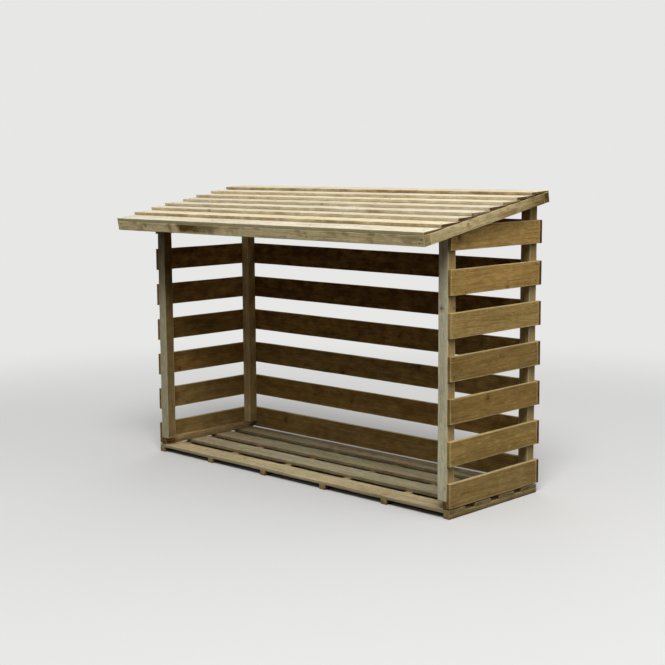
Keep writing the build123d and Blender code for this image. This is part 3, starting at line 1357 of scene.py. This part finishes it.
@dataclass
class Studio:
    """Pale floor, soft light and the camera at the photograph's viewing angle."""

    eye: Vector = Vector((3.9583, -4.0333, 1.3978))
    yaw: float = math.radians(43.93)
    pitch: float = math.radians(7.70)
    roll: float = math.radians(-0.33)
    focal: float = 1298.6
    frame_width: float = 665.0
    sensor: float = 36.0
    backdrop: Colour = (0.80, 0.80, 0.79)
    floor_bounce: Colour = (0.085, 0.08, 0.075)
    floor_reach: float = 60.0
    floor_drop: float = 0.0002
    fade_from: float = 1.8
    fade_to: float = 4.5
    sky_low: float = 0.04
    sky_high: float = 0.56
    target: Vector = Vector((0, 0, 0.6))
    lamps: tuple[tuple[str, tuple[float, float, float], float, float], ...] = (
        ("front_lamp", (4.3, -4.6, 9.0), 4.4, 648.0),
        ("side_lamp", (5.0, 0.6, 3.0), 2.6, 34.0),
        ("rear_lamp", (-3.6, 4.2, 4.4), 3.0, 36.0),
    )

    def camera(self) -> None:
        """Sets the camera by its place, its turn and its focal length in pixels."""
        east, north, fall = -math.sin(self.yaw), math.cos(self.yaw), math.cos(self.pitch)
        facing = Vector((east * fall, north * fall, -math.sin(self.pitch)))
        level = Vector((math.cos(self.yaw), math.sin(self.yaw), 0))
        right = level * math.cos(self.roll) + level.cross(facing) * math.sin(self.roll)
        turn = Matrix((right, right.cross(facing), -facing)).transposed().to_4x4()
        data = bpy.data.cameras.new("photo_camera")
        data.sensor_width = self.sensor
        data.lens = self.sensor * self.focal / self.frame_width
        made = add_object("photo_camera", data)
        made.matrix_world = Matrix.Translation(self.eye) @ turn
        bpy.context.scene.camera = made

    def floor(self, cells: int = 12) -> None:
        """Lays a wide floor that keeps the shadow and fades into the backdrop.

        Args:
            cells: How many squares it is cut into each way.
        """
        marks, wide = np.linspace(-self.floor_reach, self.floor_reach, cells + 1), cells + 1
        points = [(x, y, -self.floor_drop) for y in marks for x in marks]
        corners = (0, 1, wide + 1, wide)
        faces = [[r * wide + c + k for k in corners] for r in range(cells) for c in range(cells)]
        mesh = bpy.data.meshes.new("studio_floor")
        mesh.from_pydata(points, [], faces)
        made = add_object("studio_floor", mesh)
        material = bpy.data.materials.new("studio_floor")
        bench = NodeBench(material)
        place = bench.add("ShaderNodeTexCoord", {}).outputs["Object"]
        far = bench.add("ShaderNodeVectorMath", {0: place}, operation="LENGTH").outputs["Value"]
        seen = bench.add("ShaderNodeLightPath", {}).outputs["Is Camera Ray"]
        tone = bench.blend(seen, self.floor_bounce, self.backdrop)
        matt = bench.add("ShaderNodeBsdfDiffuse", {"Color": tone})
        glow = bench.add("ShaderNodeEmission", {"Color": (*self.backdrop, 1.0), "Strength": 1.0})
        fade = bench.times(bench.step(far, self.fade_from, self.fade_to), seen)
        skin = bench.add("ShaderNodeMixShader", {0: fade, 1: matt.outputs[0], 2: glow.outputs[0]})
        bench.add("ShaderNodeOutputMaterial", {"Surface": skin.outputs[0]})
        mesh.materials.append(material)

    def lights(self) -> None:
        """Hangs the soft square lamps and sets the sky's fill light."""
        world = bpy.data.worlds.new("studio")
        bpy.context.scene.world = world
        bench = NodeBench(world)
        seen = bench.add("ShaderNodeLightPath", {}).outputs["Is Camera Ray"]
        height = bench.split(bench.add("ShaderNodeTexCoord", {}).outputs["Generated"])[2]
        glow = bench.step(height, 0.0, 1.0, self.sky_low, self.sky_high)
        tone = bench.blend(seen, bench.join(glow, glow, glow), self.backdrop)
        sky = bench.add("ShaderNodeBackground", {"Color": tone, "Strength": 1.0})
        bench.add("ShaderNodeOutputWorld", {"Surface": sky.outputs[0]})
        for name, place, size, power in self.lamps:
            data = bpy.data.lights.new(name, "AREA")
            data.size = size
            data.energy = power
            made = add_object(name, data)
            made.location = place
            made.rotation_mode = "QUATERNION"
            made.rotation_quaternion = (self.target - Vector(place)).to_track_quat("-Z", "Y")

    def build(self) -> None:
        """Sets up the camera, the floor and the lights."""
        bpy.context.scene.view_settings.view_transform = "Standard"
        self.camera()
        self.floor()
        self.lights()
        LOG.info("studio: camera, floor and lights")


FINISHES = (
    TimberFinish(
        "bearer_timber",
        pale=shade(176, 156, 108), dark=shade(134, 112, 70), streak=shade(106, 88, 52),
        patch=shade(132, 124, 80), rim=shade(186, 172, 126), rim_share=0.3,
        tinge=shade(126, 102, 62), gold=shade(190, 160, 112), mottle_strength=1.6,
        end_grain=(0.9, 0.84, 0.7),
    ),
    TimberFinish(
        "floor_timber",
        pale=shade(200, 186, 150), dark=shade(166, 148, 108), streak=shade(140, 122, 86),
        patch=shade(166, 170, 122), rim=shade(218, 204, 168), film=shade(146, 136, 112),
        gold=shade(196, 160, 118), tinge=shade(196, 160, 132), tinge_share=0.5, patch_share=0.65,
        mottle_strength=1.1,
    ),
    TimberFinish(
        "post_timber",
        pale=shade(198, 184, 142), dark=shade(160, 142, 98), streak=shade(136, 120, 82),
        patch=shade(160, 160, 122), rim=shade(226, 218, 188), film=shade(212, 208, 180),
        gold=shade(158, 128, 72), saw_marks=0.0, ring_strength=0.35, knot_size=0.008,
        tinge=shade(146, 144, 112), band_strength=0.35, mottle_strength=0.9,
        shade_and_grime=(0.42, 0.34, 0.18),
    ),
    TimberFinish(
        "slat_timber",
        pale=shade(200, 164, 96), dark=shade(158, 122, 60), streak=shade(132, 100, 46),
        patch=shade(158, 138, 78), rim=shade(228, 208, 156), gold=shade(196, 154, 88),
        end_grain=(0.96, 0.98, 0.9), tinge=shade(142, 108, 54), tinge_share=0.3, band_strength=0.3,
        fibre_strength=0.62, mottle_strength=0.8, fleck_share=0.14, shade_and_grime=(0.34, 0.22, 0.13),
        ring_strength=0.35, knot_size=0.014, knot_share=0.35,
    ),
    TimberFinish(
        "roof_frame_timber",
        pale=shade(220, 202, 156), dark=shade(176, 156, 106), streak=shade(146, 126, 84),
        patch=shade(172, 170, 116), rim=shade(228, 216, 174), saw_marks=0.0,
        end_grain=(0.70, 0.68, 0.62), patch_share=0.6, tinge=shade(156, 122, 88), tinge_share=0.55,
        stain=shade(92, 70, 26), mottle_strength=0.9, shade_and_grime=(0.50, 0.40, 0.30), fibre_strength=0.75,
    ),
    TimberFinish(
        "roof_timber",
        pale=shade(246, 240, 216), dark=shade(230, 214, 178), streak=shade(212, 190, 148),
        patch=shade(238, 228, 196), rim=shade(248, 242, 222), fibre_strength=0.45,
        knot=shade(160, 106, 56), tinge=shade(232, 206, 170), tinge_share=0.4,
        shade_and_grime=(0.43, 0.36, 0.25), stain=shade(124, 86, 42), end_grain=(1.0, 0.9, 0.7),
        film=shade(216, 202, 146), gold=shade(216, 168, 118), band_strength=0.4,
    ),
)


def main() -> None:
    """Builds the store and its studio."""
    logging.basicConfig(level=logging.INFO, format="%(message)s")
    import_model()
    shop = Workshop({finish.slot: finish for finish in FINISHES})
    Base(shop).build()
    Posts(shop).build()
    Slats(shop).build()
    RoofFrame(shop).build()
    RoofBoards(shop).build()
    Fixings().build()
    Studio().build()


if __name__ == "__main__":
    main()
